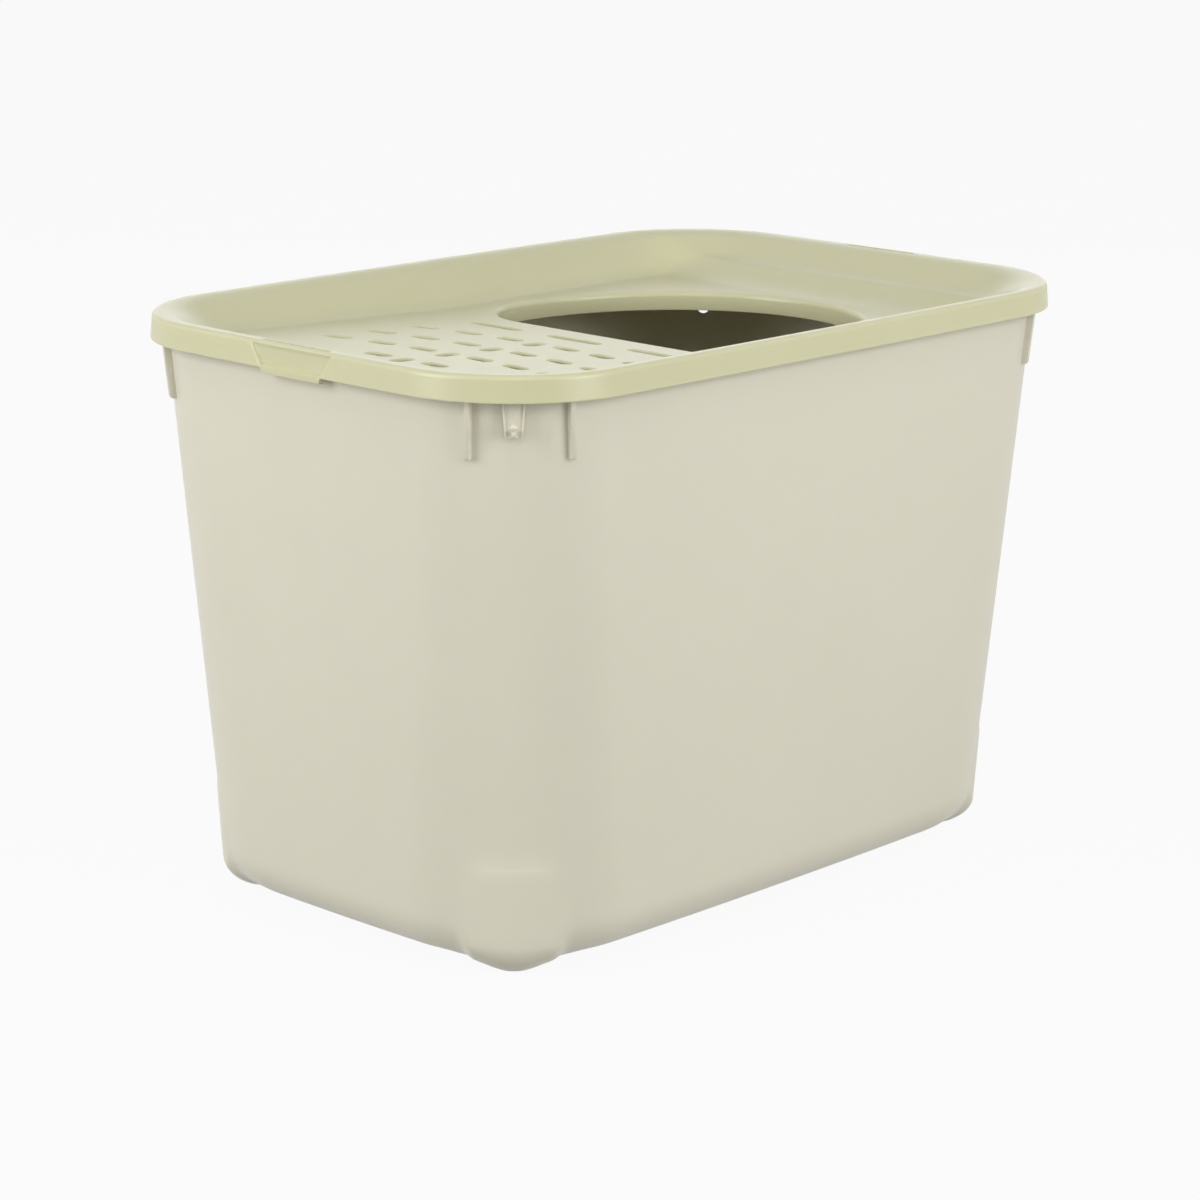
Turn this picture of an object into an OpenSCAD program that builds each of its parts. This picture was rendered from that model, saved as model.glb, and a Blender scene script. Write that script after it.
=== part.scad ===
/* [Overall] */
// Length over the lid skirt, along X
box_l = 585; // [520:1:680]
// Width over the lid skirt, along Y
box_w = 390; // [350:1:460]
// Height from the feet to the crest of the lid rim
box_h = 395; // [330:1:460]
// Outward bow at the middle of each side of the lid
lid_bow = 2.9; // [0:0.1:4]
// Outward bow at the middle of each side of the tub
tub_bow = 4.3; // [3:0.1:5]

/* [Tub] */
// Thickness of the tub wall and bottom
tub_wall = 2.5; // [2:0.1:3.5]
// Distance from the lid outline in to the tub wall, at the lower edge of the skirt
tub_inset = 10.9; // [10.5:0.1:14]
// How far the ends lean in from the rim down to the floor
taper_x = 20.9; // [14:0.1:30]
// How far the long sides lean in from the rim down to the floor
taper_y = 15.3; // [10:0.1:26]
// Growth of the corner radius from the rim down to the floor
taper_r = 20.9; // [6:0.1:24]
// Radius of the edge between the walls and the bottom
bottom_r = 29; // [18:1:34]
// Height of the bottom plate above the feet
foot_drop = 8.5; // [6:0.1:13]
// Width of the stiffening rim that turns out from the top of the wall
rim_out = 3.4; // [2.8:0.1:3.5]
// Thickness of the stiffening rim
rim_t = 2.5; // [2:0.1:3.2]
// Depth of the lip that hangs from the stiffening rim
rim_lip = 5; // [3:0.1:7]

/* [Feet] */
// Angle from the middle of a corner to the side of its foot
foot_angle = 16; // [12:0.5:17]
// Angle that the side of a foot takes to meet the wall
foot_edge_angle = 4; // [3:0.5:5]
// How far a foot stands proud of the wall at its lower end
foot_proud = 2.8; // [1.5:0.1:4]
// Radius of the edge between the face of a foot and its underside
foot_r = 21; // [16:0.5:26]
// Height at which the face of a foot ends on the wall
foot_top = 82; // [70:1:110]
// How far the face of a foot still stands proud near its upper end
foot_head = 0.9; // [0.3:0.1:1.4]
// Length of a foot under the bottom, measured in from the wall
foot_reach = 52; // [44:1:64]

/* [Stacking ribs] */
// Angle from the middle of a corner to its rib beside the short side
rib_angle_short = 19.2; // [16:0.1:26]
// Angle from the middle of a corner to its rib beside the long side
rib_angle_long = 25; // [20:0.1:32]
// How far a rib stands proud of the wall
rib_proud = 5.2; // [4:0.1:6.5]
// Thickness of a rib
rib_t = 3.6; // [2.4:0.1:4.2]
// Length of a rib below the lid skirt
rib_drop = 37.4; // [20:0.1:60]
// Bevel at the lower end of a rib
rib_bevel = 1.5; // [0.5:0.1:2.5]

/* [Hanging hole] */
// Diameter of the round hole in the wall of the far right corner
hang_d = 9; // [6:0.5:12]
// Height of its centre below the lid skirt
hang_drop = 41.3; // [36:0.1:60]
// Its angle round the corner, measured from the X axis
hang_angle = 38.1; // [32:0.1:42]

/* [Lid] */
// Thickness of the lid
lid_t = 2.4; // [2:0.1:3]
// Height of the outer skirt
skirt_h = 16.7; // [15:0.1:24]
// Lean of the skirt, so that its lower edge stands further out
skirt_draft = 1.2; // [0.4:0.1:2]
// Corner radius of the lid outline
lid_r = 88; // [84:0.5:96]
// Radius of the edge between skirt and rim
edge_r = 3.2; // [2.8:0.1:4]
// Width of the level band along the top of the rim
band_w = 0.6; // [0.4:0.1:4]
// Radius of the roll from the rim into the dish
roll_r = 20; // [16:0.5:24]
// Slope of the dish wall
dish_slope = 48; // [42:1:58]
// Radius of the fillet between the dish wall and the lid floor
dish_r = 18; // [12:1:22]
// Depth of the lid floor below the rim crest
dish_depth = 28.2; // [24:0.1:36]
// Slope of the perforated ramp down to the entry hole
ramp_slope = 2.4; // [0:0.1:3]
// Where the ramp starts, measured from the middle of the lid
ramp_start = 16; // [15:1:24]
// How much the far end of the dish climbs to its wall
end_rise = 12; // [0:0.5:14]
// Level strip between the entry hole and that climb
end_level = 3; // [1:0.5:8]

/* [Entry hole] */
// Distance of the straight edge of the hole from the middle of the lid
hole_back = 9; // [4:0.5:9]
// Distance of the round front of the hole from the middle of the lid
hole_front = 201; // [160:1:205]
// Width of the hole
hole_w = 266; // [200:1:270]
// Radius of the two back corners of the hole
hole_r = 55; // [30:1:56]
// Length of the straight side between a back corner and the round front
hole_straight = 3; // [2:1:30]
// Depth of the collar below the lid floor
collar_h = 13; // [8:0.5:20]
// Radius of the shoulder from the lid floor into the collar
shoulder_r = 3.5; // [2.8:0.1:5]

/* [Litter slots] */
// Length of the long slots beside the entry hole
long_slot = 48; // [30:1:60]
// Width of the long slots
long_slot_w = 8; // [5:0.5:10]
// Distance between the middles of the long slots
long_pitch = 74; // [64:1:86]
// Distance of the long slots from the middle of the lid
long_x = 38; // [34:1:41]
// Length of the short slots
short_slot = 21; // [12:1:24]
// Width of the short slots
short_slot_w = 9; // [5:0.5:10]
// Length of the slots along the middle line
mid_slot = 18; // [12:1:24]
// Distance of the first curved row of short slots from the middle of the lid
row_x = 72; // [68:1:80]
// Distance between the curved rows
row_pitch = 40; // [34:1:44]
// Number of curved rows that reach across the ramp
row_count = 3; // [1:1:3]
// Distance of the innermost short slots from the middle line
slot_y = 26; // [22:1:30]
// Distance between the short slots of a row
slot_pitch = 35.5; // [30:0.5:40]
// Radius of the curved rows
row_r = 450; // [350:10:900]

/* [Snap tabs] */
// Width of a grip recess at its upper edge
grip_top = 73; // [50:1:90]
// Width of a grip recess at its lower edge
grip_bottom = 55; // [36:1:70]
// Depth of a grip recess, measured in from the lid outline
grip_depth = 3.2; // [2:0.1:3.3]
// Thickness of the lid behind a grip recess
grip_t = 1.8; // [1.2:0.1:1.9]
// How much the sides of a grip recess slope in
grip_bevel = 3; // [1:0.1:5]
// Height of the ledge that closes a grip recess at its lower edge
grip_ledge = 1.2; // [0.8:0.1:2]
// Depth of the finger lip below the skirt
lip_drop = 3.4; // [2:0.1:5]
// Length of the groove in the rim behind a grip
groove_l = 62; // [40:1:70]
// Width of that groove
groove_w = 1.6; // [1:0.1:2]
// Depth of that groove
groove_d = 3; // [2:0.1:4]

/* [Scoop hook] */
// Width of the hook plate at its upper end
hook_top = 15; // [10:0.1:18]
// Width of the hook plate at its lower end
hook_bottom = 11; // [7:0.1:14]
// Height of the hook plate
hook_h = 26; // [22:0.5:34]
// Height of the plate that shows below the lid skirt
hook_drop = 22; // [18:0.5:28]
// Thickness of the plate
hook_t = 1.6; // [1.2:0.1:2.4]
// How far the edge flanges stand proud of the plate
hook_flange = 1.1; // [0.8:0.1:2.4]
// Thickness of the edge flanges
hook_flange_t = 1; // [0.8:0.1:1.6]
// Diameter of the peg
peg_d = 3.2; // [2.6:0.1:4]
// Diameter of the round tip of the peg
peg_tip_d = 5.2; // [4:0.1:6.5]
// Length of the peg from the plate to the middle of its tip
peg_l = 8; // [6:0.5:12]
// Height to which the tip of the peg turns up
peg_rise = 1.6; // [0:0.1:3]
// Height of the peg above the lower end of the plate
peg_z = 3.6; // [3:0.1:6]
// Diameter of the spigot that holds the plate on the tub wall
spigot_d = 5; // [4:0.1:6]
// Diameter of the snap head inside the tub
spigot_head_d = 6.4; // [5:0.1:8]
// Diameter of the rounded end of the snap head
spigot_end_d = 4; // [3:0.1:5]
// Length of the snap head
spigot_head_l = 2; // [1.5:0.1:3]
// Play of the spigot in its hole
spigot_gap = 0.15; // [0.05:0.05:0.3]

/* [Fit] */
// Gap between the tub rim and the lid that rests on it
seat_gap = 0.3; // [0.2:0.05:0.5]

/* [Hidden] */
$fn = 48;

// Colours of the two mouldings
tub_colour = "#D4CFBC";
lid_colour = "#D2D0AC";

// Overlap that lets a cutter pass through a face
eps = 0.5;
// Depth to which a rib or a pad is rooted in the wall that carries it
root = 1.4;
// Angle between neighbouring points of a moulded edge
arc_step = 18;
right_angle = 90;

// Heights of the lid
skirt_z = box_h - skirt_h;
dish_z = box_h - dish_depth;
// Inset of the crest of the lid rim, and of the inner edge of the tub rim that carries it
crest_inset = skirt_draft + edge_r + band_w;
seat_inset = tub_inset + tub_wall / 4;
// Top of the tub rim, under the roll of the lid
rim_z = box_h - roll_r - seat_gap
    + sqrt(pow(roll_r - lid_t, 2) - pow(max(0, seat_inset - crest_inset), 2));
// Half-sizes of the lid outline without the bow of its sides
lid_a = box_l / 2 - lid_bow;
lid_b = box_w / 2 - lid_bow;

// Angles of the points round one corner, from its middle out to its end
half_corner = [0, foot_angle / 3, foot_angle * 2 / 3, foot_angle * 0.88, foot_angle,
               foot_angle + foot_edge_angle, 26, 32, 38.5, 45];
// Share of the foot at each of those points: under it, along its lower edge and up its face
half_shares = [[1, 1, 0.9, 0.6, 0.3, 0, 0, 0, 0, 0],
               [1, 0.91, 0.64, 0.36, 0.2, 0.11, 0, 0, 0, 0],
               [1, 1, 1, 1, 0.8, 0, 0, 0, 0, 0]];
half_n = len(half_corner);
corner_angles = concat([for (i = [half_n - 1 : -1 : 1]) 45 - half_corner[i]],
                       [for (h = half_corner) 45 + h]);
// Places of the points along the straight sides
long_stops = [-box_l / 5, -ramp_start, box_l / 10, box_l / 5];
short_stops = [-box_w / 8, 0, box_w / 8];
ring_shares = [for (half = half_shares)
    let (turn = concat([for (i = [half_n - 1 : -1 : 1]) half[i]], half),
         long = [for (s = long_stops) 0],
         short = [for (s = short_stops) 0])
    concat(turn, long, turn, short, turn, long, turn, short)];
ring_n = len(ring_shares[0]);

function reversed(list) = [for (i = [len(list) - 1 : -1 : 0]) list[i]];
function unit(angle) = [cos(angle), sin(angle)];
function mix(p, q, share) = p * (1 - share) + q * share;

// Point p of a rounded rectangle of half-sizes a and b, with its sides bowed out
function bowed(p, a, b, bow) = [
    p[0] + sign(p[0]) * bow * pow(abs(p[0]) / a, 4) * (1 - pow(p[1] / b, 2)),
    p[1] + sign(p[1]) * bow * pow(abs(p[1]) / b, 4) * (1 - pow(p[0] / a, 2))
];

// Points of one corner arc about c, from the angle start
function corner(c, r, start) = [for (t = corner_angles) c + r * unit(start + t)];

// Points of a rounded rectangle, counter-clockwise from its right-hand side
function outline(a, b, r, bow) = [
    for (p = concat(
        corner([a - r, b - r], r, 0), [for (x = reversed(long_stops)) [x, b]],
        corner([r - a, b - r], r, 90), [for (y = reversed(short_stops)) [-a, y]],
        corner([r - a, r - b], r, 180), [for (x = long_stops) [x, -b]],
        corner([a - r, r - b], r, 270), [for (y = short_stops) [a, y]]))
    bowed(p, a, b, bow)
];

// The same point of the outline on the other side of the X axis
function across(i) = (2 * ring_n - 1 - len(short_stops) - i) % ring_n;

// Faces between ring k of a stack and the next one
function band(k) = [
    for (i = [0 : ring_n - 1])
        let (o = k * ring_n, j = (i + 1) % ring_n)
        each [[o + i, o + ring_n + i, o + ring_n + j], [o + i, o + ring_n + j, o + j]]
];

// Faces that close ring k with strips across its width, seen from below or from above
function strips(k, above) = [
    for (s = [0 : ring_n / 2 - 1])
        let (i = (ring_n - 2 + s) % ring_n,
             j = (i + 1) % ring_n,
             quad = i == across(i) ? [i, j, across(j)]
                  : j == across(j) ? [i, j, across(i)]
                  : [i, j, across(j), across(i)],
             face = above ? reversed(quad) : quad)
        [for (q = face) k * ring_n + q]
];

// Closed body from a stack of rings, each a list of points in space
module ring_stack(rings) {
    last = len(rings) - 1;
    polyhedron(points = [for (r = rings) each r],
               faces = concat([for (k = [0 : last - 1]) each band(k)],
                              strips(0, false), strips(last, true)),
               convexity = 10);
}

// Half-sizes and corner radius of the tub wall at the height z
function lean(z) = (skirt_z - z) / skirt_z;
function tub_a(z) = lid_a - tub_inset - taper_x * lean(z);
function tub_b(z) = lid_b - tub_inset - taper_y * lean(z);
function tub_r(z) = lid_r - tub_inset + taper_r * lean(z);

// Point of the tub wall on the unrounded outline, at an angle round the far right corner
function wall_point(angle, z) =
    let (a = tub_a(z), b = tub_b(z), r = tub_r(z))
    bowed([a - r, b - r] + r * unit(angle), a, b, tub_bow);
// Middle of the far right corner arc at the lower edge of the skirt
corner_mid = [tub_a(skirt_z) - tub_r(skirt_z), tub_b(skirt_z) - tub_r(skirt_z)];
// Distance of the wall from that middle, along an angle
function wall_reach(angle, z) = (wall_point(angle, z) - corner_mid) * unit(angle);

// One ring of the tub from [plain, foot, place]: plain and foot are each an inset from the wall
// and a height, and place runs from 0 under the foot over 1 at its lower edge to 2 on its face
function tub_ring(s) =
    let (p = tub_outline(s[0]), f = tub_outline(s[1]),
         a = ring_shares[min(1, floor(s[2]))], b = ring_shares[min(2, floor(s[2]) + 1)],
         t = s[2] - min(1, floor(s[2])))
    [for (i = [0 : ring_n - 1]) mix(p[i], f[i], mix(a[i], b[i], t))];
function tub_outline(s) = [
    for (p = outline(tub_a(s[1]) - s[0], tub_b(s[1]) - s[0], tub_r(s[1]) - s[0], tub_bow))
        [p[0], p[1], s[1]]
];

// Rounded lower edge of the tub, set in by off from its outer face
edge_angles = [for (t = [0 : arc_step : right_angle]) t];
function lower_edge(off) = [
    for (t = edge_angles) [
        [off + (bottom_r - off) * (1 - sin(t)), foot_drop + off + (bottom_r - off) * (1 - cos(t))],
        [off - foot_proud + (foot_r - off) * (1 - sin(t)), off + (foot_r - off) * (1 - cos(t))],
        2 - cos(t)
    ]
];
// Underside of a foot, from the slope at its inner end out to its lower edge
foot_back = 6;
foot_flat = 8;
function foot_end(off) = concat(
    [for (s = [[foot_reach + foot_back, 1], [foot_reach, 1], [foot_reach - foot_back, 0]])
        [[s[0] - off / 2, foot_drop + off], [s[0] - off / 2, foot_drop * s[1] + off], 0]],
    [[[bottom_r + foot_flat, foot_drop + off], [foot_r - foot_proud + foot_flat, off], 0]]
);
// Upper end of the face of a foot
foot_fade = 6;
function foot_upper(off) = [
    [[off, foot_top - foot_fade], [off - foot_head, foot_top - foot_fade], 2],
    [[off, foot_top], [off, foot_top], 2]
];
// Section of the rim, from the outside of the wall over the top to its inside
rim_lip_t = 1.8;
rim_edge = 0.8;
rim_section = [
    [0, rim_z - rim_t],
    [rim_lip_t - rim_out, rim_z - rim_t],
    [rim_lip_t - rim_out, rim_z - rim_lip],
    [-rim_out, rim_z - rim_lip],
    [-rim_out, rim_z - rim_edge],
    [rim_edge - rim_out, rim_z],
    [tub_wall / 4, rim_z],
    [tub_wall, rim_z - rim_edge * 1.5]
];
tub_section = concat(
    foot_end(0), lower_edge(0), foot_upper(0),
    [for (s = rim_section) [s, s, 2]],
    reversed(foot_upper(tub_wall)), reversed(lower_edge(tub_wall)), reversed(foot_end(tub_wall))
);

// Copies its children from the far right corner to all four
module each_corner() {
    for (mx = [0, 1], my = [0, 1])
        mirror([mx, 0, 0]) mirror([0, my, 0]) children();
}

// Stacking rib of the far right corner, a blade that follows the wall at an angle round the corner
module rib(angle) {
    low = skirt_z - rib_drop;
    high = rim_z - rim_t / 2;
    profile = [[-root, low], [rib_proud - 2 * rib_bevel, low], [rib_proud - rib_bevel / 2, low + rib_bevel],
               [rib_proud, high], [-root, high]];
    n = len(profile);
    across_blade = unit(angle + right_angle) * rib_t / 2;
    points = [for (side = [-1, 1]) for (q = profile)
        let (p = wall_point(angle, q[1]) + q[0] * unit(angle) + side * across_blade) [p[0], p[1], q[1]]];
    polyhedron(points = points,
               faces = concat([[for (i = [0 : n - 1]) i]], [[for (i = [n - 1 : -1 : 0]) n + i]],
                              [for (i = [0 : n - 1]) let (j = (i + 1) % n)
                                  each [[i, n + i, n + j], [i, n + j, j]]]));
}

// Open tub with its feet, stiffening rim and stacking ribs in one moulding
module tub() {
    hang_z = skirt_z - hang_drop;
    hang_at = wall_point(hang_angle, hang_z);
    color(tub_colour)
    difference() {
        union() {
            ring_stack([for (s = tub_section) tub_ring(s)]);
            each_corner() {
                rib(45 - rib_angle_short);
                rib(45 + rib_angle_long);
            }
        }
        translate([hang_at[0], hang_at[1], hang_z])
            rotate([0, right_angle, hang_angle])
                cylinder(d = hang_d, h = 4 * tub_wall, center = true);
        in_hook_frame()
            translate([wall_reach(45, spigot_z), 0, spigot_z])
                rotate([0, right_angle, 0])
                    cylinder(d = spigot_d + 2 * spigot_gap, h = 4 * tub_wall, center = true);
    }
}

// Section of the lid from the lower edge of the skirt to the foot of the dish, as inset and height
function arc_points(c, r, from, to, steps) =
    [for (i = [0 : steps]) c + r * unit(from + (to - from) * i / steps)];
edge_c = [skirt_draft + edge_r, box_h - edge_r];
roll_c = [crest_inset, box_h - roll_r];
roll_end = roll_c + roll_r * unit(right_angle - dish_slope);
foot_z = dish_z + dish_r * (1 - cos(dish_slope));
foot_x = roll_end[0] + (roll_end[1] - foot_z) / tan(dish_slope);
lid_run = foot_x + dish_r * sin(dish_slope);
dish_c = [lid_run, dish_z + dish_r];

// Height of the lid floor: level round the entry hole, a ramp on one side, a climb at the far end
end_start = hole_front + shoulder_r + end_level;
end_stop = lid_a - lid_run;
function floor_rise(x) =
    max(0, -ramp_start - x) * tan(ramp_slope)
    + end_rise * pow(min(1, max(0, x - end_start) / (end_stop - end_start)), 2);

edge_steps = 4;
roll_steps = 5;
dish_steps = 5;
function lid_section(off) = concat(
    [[off, skirt_z]],
    arc_points(edge_c, edge_r - off, 2 * right_angle, right_angle, edge_steps),
    arc_points(roll_c, roll_r - off, right_angle, right_angle - dish_slope, roll_steps),
    arc_points(dish_c, dish_r + off, 3 * right_angle - dish_slope, 3 * right_angle, dish_steps)
);

// One ring of the lid: the dish follows the rise of the floor, in full at its foot
function lid_ring(s) =
    let (share = s[0] > roll_c[0] ? (box_h - s[1]) / dish_depth : 0)
    [for (p = outline(lid_a - s[0], lid_b - s[0], lid_r - s[0], lid_bow))
        [p[0], p[1], s[1] + share * floor_rise(p[0])]];

// Outline of the entry hole, grown by e: straight back, round corners, elliptical front
hole_steps = 14;
hole_c = hole_r - hole_back;
front_c = hole_c + hole_straight;
function hole_half(e) = concat(
    [for (i = [0 : hole_steps])
        let (t = right_angle * i / hole_steps)
        [front_c + (hole_front - front_c + e) * cos(t), (hole_w / 2 + e) * sin(t)]],
    [for (i = [0 : hole_steps / 2])
        let (t = right_angle + right_angle * i / (hole_steps / 2))
        [hole_c, hole_w / 2 - hole_r] + (hole_r + e) * unit(t)]
);
function hole_outline(e) =
    let (half = hole_half(e))
    concat(half, [for (i = [len(half) - 1 : -1 : 1]) [half[i][0], -half[i][1]]]);

// Body between outlines of the entry hole, each given as growth and height, from the lowest up
module hole_stack(section) {
    m = len(hole_outline(0));
    n = len(section);
    polyhedron(points = [for (s = section) for (p = hole_outline(s[0])) [p[0], p[1], s[1]]],
               faces = concat(
                   [for (k = [0 : n - 2], i = [0 : m - 1])
                       let (j = (i + 1) % m)
                       each [[k * m + i, (k + 1) * m + i, (k + 1) * m + j],
                             [k * m + i, (k + 1) * m + j, k * m + j]]],
                   [[for (i = [0 : m - 1]) i]],
                   [[for (i = [m - 1 : -1 : 0]) (n - 1) * m + i]]),
               convexity = 4);
}

collar_low = dish_z - collar_h;
collar_edge = 0.6;
// Solid that the collar is cut from, rooted in the floor of the lid
module collar_block() {
    hole_stack([[lid_t - collar_edge, collar_low], [lid_t, collar_low + collar_edge],
                [lid_t, dish_z - 2 * lid_t], [2 * lid_t, dish_z - lid_t / 2]]);
}

// Opening of the hole, flaring out into a rounded shoulder that runs through the lid floor
shoulder_turn = 75;
shoulder_steps = 5;
function shoulder_point(t) = [shoulder_r * (1 - cos(t)), dish_z + shoulder_r * (sin(t) - sin(shoulder_turn))];
module hole_cutter() {
    above = shoulder_point(shoulder_turn) + eps * [tan(shoulder_turn), 1];
    hole_stack(concat(
        [[2 * collar_edge, collar_low - collar_edge], [0, collar_low + collar_edge]],
        [for (i = [0 : shoulder_steps]) shoulder_point(shoulder_turn * i / shoulder_steps)],
        [above]));
}

// Slot with round ends, long along Y, cut down through the lid floor
module slot(length, width) {
    cut = 4 * lid_t;
    translate([0, 0, -cut / 2]) {
        for (side = [-1, 1])
            translate([0, side * (length - width) / 2, 0]) cylinder(d = width, h = cut);
        translate([-width / 2, (width - length) / 2, 0]) cube([width, length - width, cut]);
    }
}

// All slots of the perforated ramp, a hand's breadth wide on each side of the middle
module litter_slots() {
    for (k = [-1 : 1])
        translate([-long_x, k * long_pitch, dish_z + floor_rise(-long_x)])
            slot(long_slot, long_slot_w);
    for (row = [0 : row_count]) {
        x = -row_x - row * row_pitch;
        last = row < row_count ? 2 : 0;
        translate([x - short_slot_w / 2, 0, dish_z + floor_rise(x)])
            rotate([0, 0, right_angle]) slot(mid_slot, short_slot_w);
        for (k = [0 : last], side = [-1, 1]) {
            y = side * (slot_y + k * slot_pitch);
            xs = x + sqrt(row_r * row_r - y * y) - row_r;
            translate([xs, y, dish_z + floor_rise(xs)])
                rotate([0, 0, asin(y / row_r)]) slot(short_slot, short_slot_w);
        }
    }
}

// Upright plate across the end of the lid, half as wide as given at each height, d is its inset
module end_plate(half_low, half_high, low, high, d, thickness) {
    translate([box_l / 2 - d, 0, 0])
        rotate([right_angle, 0, right_angle])
            translate([0, 0, -thickness])
                linear_extrude(thickness)
                    polygon([[-half_low, low], [half_low, low], [half_high, high], [-half_high, high]]);
}

// Heights of the grip recess and its finger lip
grip_high = box_h - edge_r;
grip_low = skirt_z + grip_ledge;
lip_z = skirt_z - lip_drop;
lip_lean = 2.5;
pad_side = 2.2;

// Wall behind the grip recess and the finger lip below it, at the right-hand end
module grip_pad() {
    end_plate(grip_bottom / 2 + pad_side, grip_top / 2 + pad_side, skirt_z, grip_high, root,
              grip_depth + grip_t - root);
    end_plate(grip_bottom / 2 - lip_lean, grip_bottom / 2, lip_z, skirt_z + eps, 0, grip_depth - eps);
}

// Recess that the fingers reach into, with sloping sides
module grip_recess() {
    skin = 0.01;
    hull() {
        end_plate(grip_bottom / 2, grip_top / 2, grip_low, grip_high, -eps, eps + skin);
        end_plate(grip_bottom / 2 - grip_bevel / 2, grip_top / 2 - grip_bevel,
                  grip_low + grip_bevel / 2, grip_high - eps, 0, grip_depth);
    }
}

// Groove in the rim that frees the upper edge of the grip
module grip_groove() {
    translate([box_l / 2 - grip_depth - groove_w - lid_t / 2, -groove_l / 2, box_h - groove_d])
        cube([groove_w, groove_l, groove_d + eps]);
}

module both_ends() {
    children();
    mirror([1, 0, 0]) children();
}

// Dished lid with its skirt, entry collar, perforated ramp and snap grips in one moulding
module lid() {
    color(lid_colour)
    difference() {
        union() {
            ring_stack([for (s = concat(reversed(lid_section(lid_t)), lid_section(0))) lid_ring(s)]);
            collar_block();
            both_ends() grip_pad();
        }
        hole_cutter();
        litter_slots();
        both_ends() {
            grip_recess();
            grip_groove();
        }
    }
}

// Frame of the hook: its origin on the near left corner's middle, X outwards along the diagonal
module in_hook_frame() {
    translate([-corner_mid[0], -corner_mid[1], 0]) rotate([0, 0, 225]) children();
}

// Lower end of the hook plate, and the rise from the peg to the spigot
hook_z = skirt_z - hook_drop;
spigot_up = 7;
spigot_z = hook_z + peg_z + spigot_up;
hook_gap = 0.3;
// Back of the plate, which stands just clear of the wall at its upper end
hook_back = wall_reach(45, hook_z + hook_h) + hook_gap;
// Length of the spigot from the back of the plate to its snap head
spigot_play = 0.4;
spigot_l = hook_back - wall_reach(45, spigot_z) + tub_wall + spigot_play;

// Hook for a litter scoop: channel-shaped plate, upturned peg and the spigot that holds it
module scoop_hook() {
    peg_at = hook_z + peg_z;
    color(tub_colour)
    in_hook_frame() {
        difference() {
            translate([hook_back, 0, 0])
                rotate([right_angle, 0, right_angle])
                    linear_extrude(hook_t + hook_flange)
                        polygon([[-hook_bottom / 2, hook_z], [hook_bottom / 2, hook_z],
                                 [hook_top / 2, hook_z + hook_h], [-hook_top / 2, hook_z + hook_h]]);
            translate([hook_back + hook_t, 0, 0])
                rotate([right_angle, 0, right_angle])
                    linear_extrude(hook_flange + eps)
                        polygon([[-hook_bottom / 2 + hook_flange_t, hook_z - eps],
                                 [hook_bottom / 2 - hook_flange_t, hook_z - eps],
                                 [hook_top / 2 - hook_flange_t, hook_z + hook_h + eps],
                                 [-hook_top / 2 + hook_flange_t, hook_z + hook_h + eps]]);
        }
        translate([hook_back + hook_t / 2, 0, peg_at])
            rotate([0, right_angle, 0]) cylinder(d = peg_d, h = peg_l + hook_t / 2);
        translate([hook_back + hook_t + peg_l, 0, peg_at])
            cylinder(d = peg_d, h = peg_rise + peg_tip_d / 2);
        translate([hook_back + hook_t + peg_l, 0, peg_at + peg_rise + peg_tip_d / 2])
            sphere(d = peg_tip_d);
        translate([hook_back + hook_t + peg_l, 0, peg_at]) sphere(d = peg_d);
        translate([hook_back - spigot_l, 0, spigot_z])
            rotate([0, right_angle, 0]) cylinder(d = spigot_d, h = spigot_l + hook_t / 2);
        translate([hook_back - spigot_l, 0, spigot_z])
            rotate([0, -right_angle, 0]) cylinder(d1 = spigot_head_d, d2 = spigot_end_d, h = spigot_head_l);
    }
}
tub();
lid();
scoop_hook();
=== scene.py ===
import math
import bpy
import bmesh
import numpy as np
from mathutils import Matrix, Vector


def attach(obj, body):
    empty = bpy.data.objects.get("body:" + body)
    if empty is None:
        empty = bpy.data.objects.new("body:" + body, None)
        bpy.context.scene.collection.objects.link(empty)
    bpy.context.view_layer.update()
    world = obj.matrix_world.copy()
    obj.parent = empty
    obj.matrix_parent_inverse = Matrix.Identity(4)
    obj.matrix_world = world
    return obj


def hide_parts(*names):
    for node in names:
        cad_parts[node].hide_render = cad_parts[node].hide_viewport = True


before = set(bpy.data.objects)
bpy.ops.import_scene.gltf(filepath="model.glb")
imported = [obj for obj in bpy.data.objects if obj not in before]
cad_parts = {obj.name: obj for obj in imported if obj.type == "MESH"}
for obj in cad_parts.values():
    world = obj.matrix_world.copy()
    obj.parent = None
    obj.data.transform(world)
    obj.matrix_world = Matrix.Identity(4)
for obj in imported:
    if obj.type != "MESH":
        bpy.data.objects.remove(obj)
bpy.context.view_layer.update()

MM = 0.001
scene = bpy.context.scene


# ---------------------------------------------------------------- camera
# fitted to the outlines in the photograph: degrees, mm, and a focal length in pixels
CAM_TURN, CAM_RISE, CAM_ROLL = -46.826, 14.319, 0.483
CAM_DISTANCE, CAM_RIGHT, CAM_UP, CAM_LEVEL = 2416.3, -7.463, -18.231, 200
FOCAL_PX, PHOTO_PX, SENSOR_W = 3510.88, 1200, 36


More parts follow.
